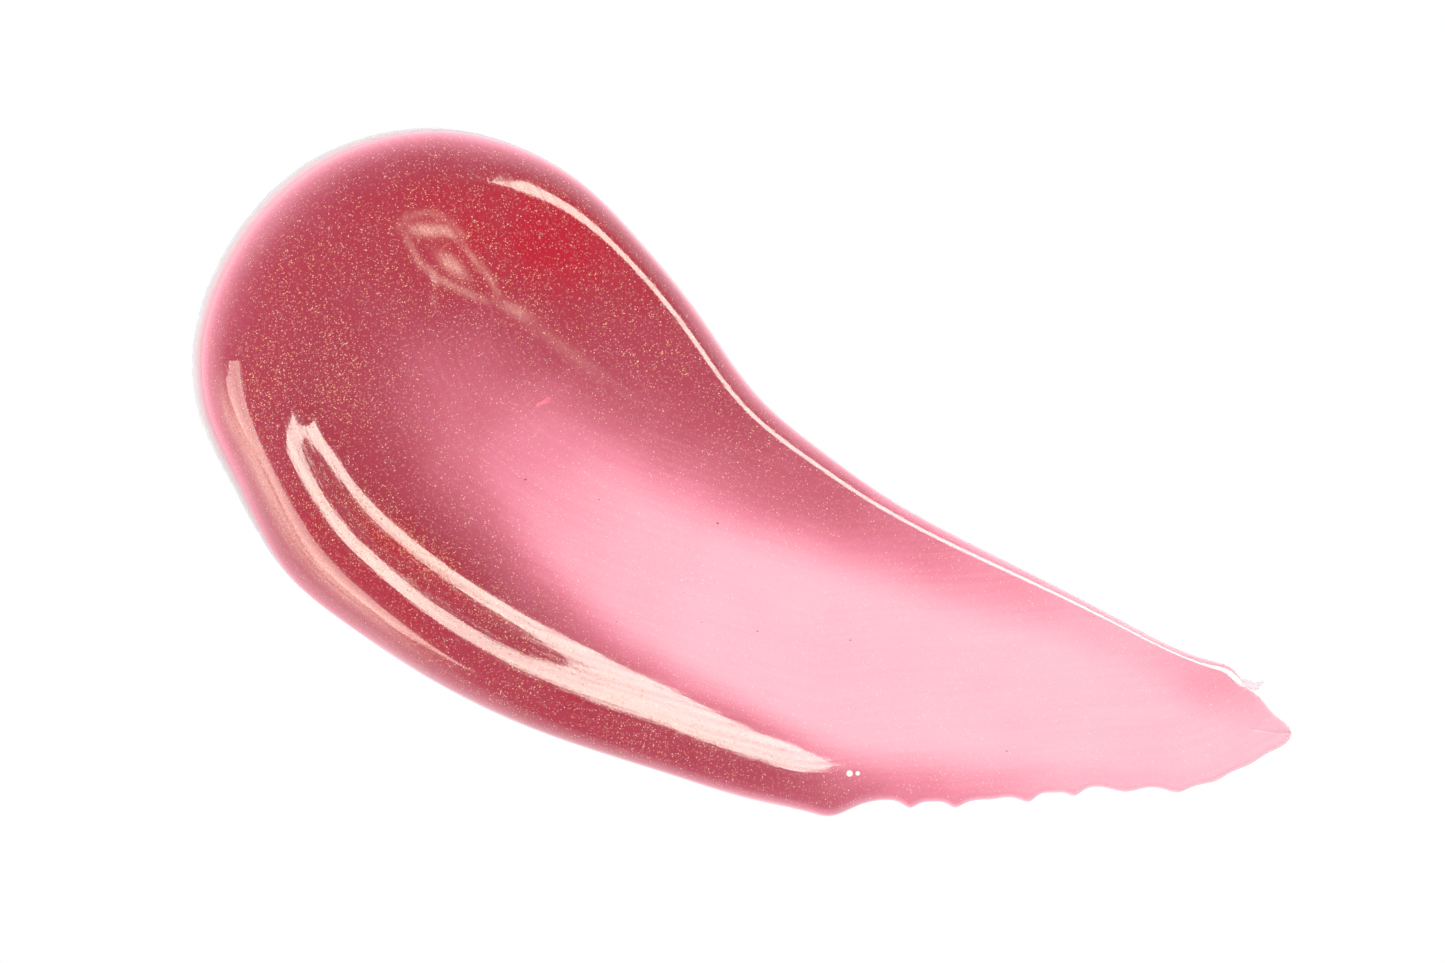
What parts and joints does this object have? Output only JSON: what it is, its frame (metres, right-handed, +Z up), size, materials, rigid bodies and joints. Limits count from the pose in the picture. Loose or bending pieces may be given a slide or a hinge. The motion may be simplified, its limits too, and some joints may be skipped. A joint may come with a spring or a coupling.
{
  "type": "lip gloss smear",
  "caption": "Smear of shimmering pink lip gloss, dragged from a deep rounded head between two rolls into a thin ragged tail.",
  "frame": {"origin": "middle of the footprint's box, on the face that rests on the surface", "axes": "+X along the smear from its round head to its thin tail, +Y towards the far edge, +Z up out of the surface"},
  "size_m": [0.05, 0.0313, 0.0022],
  "materials": {
    "thin_gel": "wet gloss, pale and translucent where thin",
    "deep_gel": "wet gloss, deep rose where thick",
    "clear_oil": "wet gloss, nearly clear",
    "gold_mica": "metallic pearl plate",
    "pearl_mica": "silvery pearl plate",
    "dark_pigment": "dull grain",
    "pink_pigment": "soft paste",
    "air": "clear bubble"
  },
  "bodies": {
    "root": {"contact_film": "thin_gel", "near_roll": "deep_gel", "far_roll": "deep_gel", "head_pool": "deep_gel", "applicator_curl": "deep_gel", "clear_rim": "clear_oil", "tail_spur": "clear_oil", "gold_flakes": "gold_mica", "pearl_flakes": "pearl_mica", "dark_grains": "dark_pigment", "pigment_streak": "pink_pigment", "air_bubbles": "air"}
  },
  "joints": []
}
